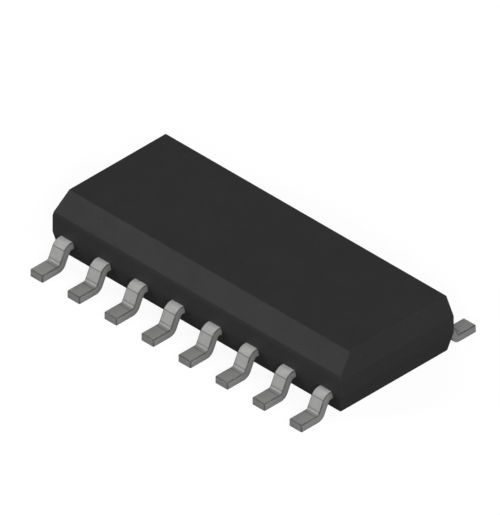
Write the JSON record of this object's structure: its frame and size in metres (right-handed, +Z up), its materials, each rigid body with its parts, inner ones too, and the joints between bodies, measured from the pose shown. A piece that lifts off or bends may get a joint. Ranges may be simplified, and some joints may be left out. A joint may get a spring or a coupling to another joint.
{
  "type": "soic chip",
  "caption": "Small-outline surface-mount integrated circuit package: black moulded body, bevelled along one side, with two rows of gull-wing leads.",
  "frame": {"origin": "on the board, under the middle of the body: the centre of the plane that the sixteen feet stand on", "axes": "+X along the body from lead 1's end to lead 8's end, +Y across it from the bevelled side with leads 1 to 8 to the side with leads 9 to 16, +Z up, away from the board"},
  "size_m": [0.0098, 0.006, 0.0018],
  "materials": {
    "mould_compound": "matt black filled epoxy, finely textured by the mould",
    "tinned_lead": "matt tin plate on a copper alloy",
    "copper_frame": "bare rolled copper alloy",
    "die_adhesive": "silver-filled epoxy paste, cured",
    "silicon": "polished silicon under a thin passivation layer",
    "gold_wire": "drawn gold wire"
  },
  "bodies": {
    "root": {"mould_body": "mould_compound", "lead_01": "tinned_lead", "lead_02": "tinned_lead", "lead_03": "tinned_lead", "lead_04": "tinned_lead", "lead_05": "tinned_lead", "lead_06": "tinned_lead", "lead_07": "tinned_lead", "lead_08": "tinned_lead", "lead_09": "tinned_lead", "lead_10": "tinned_lead", "lead_11": "tinned_lead", "lead_12": "tinned_lead", "lead_13": "tinned_lead", "lead_14": "tinned_lead", "lead_15": "tinned_lead", "lead_16": "tinned_lead", "die_paddle": "copper_frame", "die_attach": "die_adhesive", "silicon_die": "silicon", "bond_wire_01": "gold_wire", "bond_wire_02": "gold_wire", "bond_wire_03": "gold_wire", "bond_wire_04": "gold_wire", "bond_wire_05": "gold_wire", "bond_wire_06": "gold_wire", "bond_wire_07": "gold_wire", "bond_wire_08": "gold_wire", "bond_wire_09": "gold_wire", "bond_wire_10": "gold_wire", "bond_wire_11": "gold_wire", "bond_wire_12": "gold_wire", "bond_wire_13": "gold_wire", "bond_wire_14": "gold_wire", "bond_wire_15": "gold_wire", "bond_wire_16": "gold_wire"}
  },
  "joints": []
}
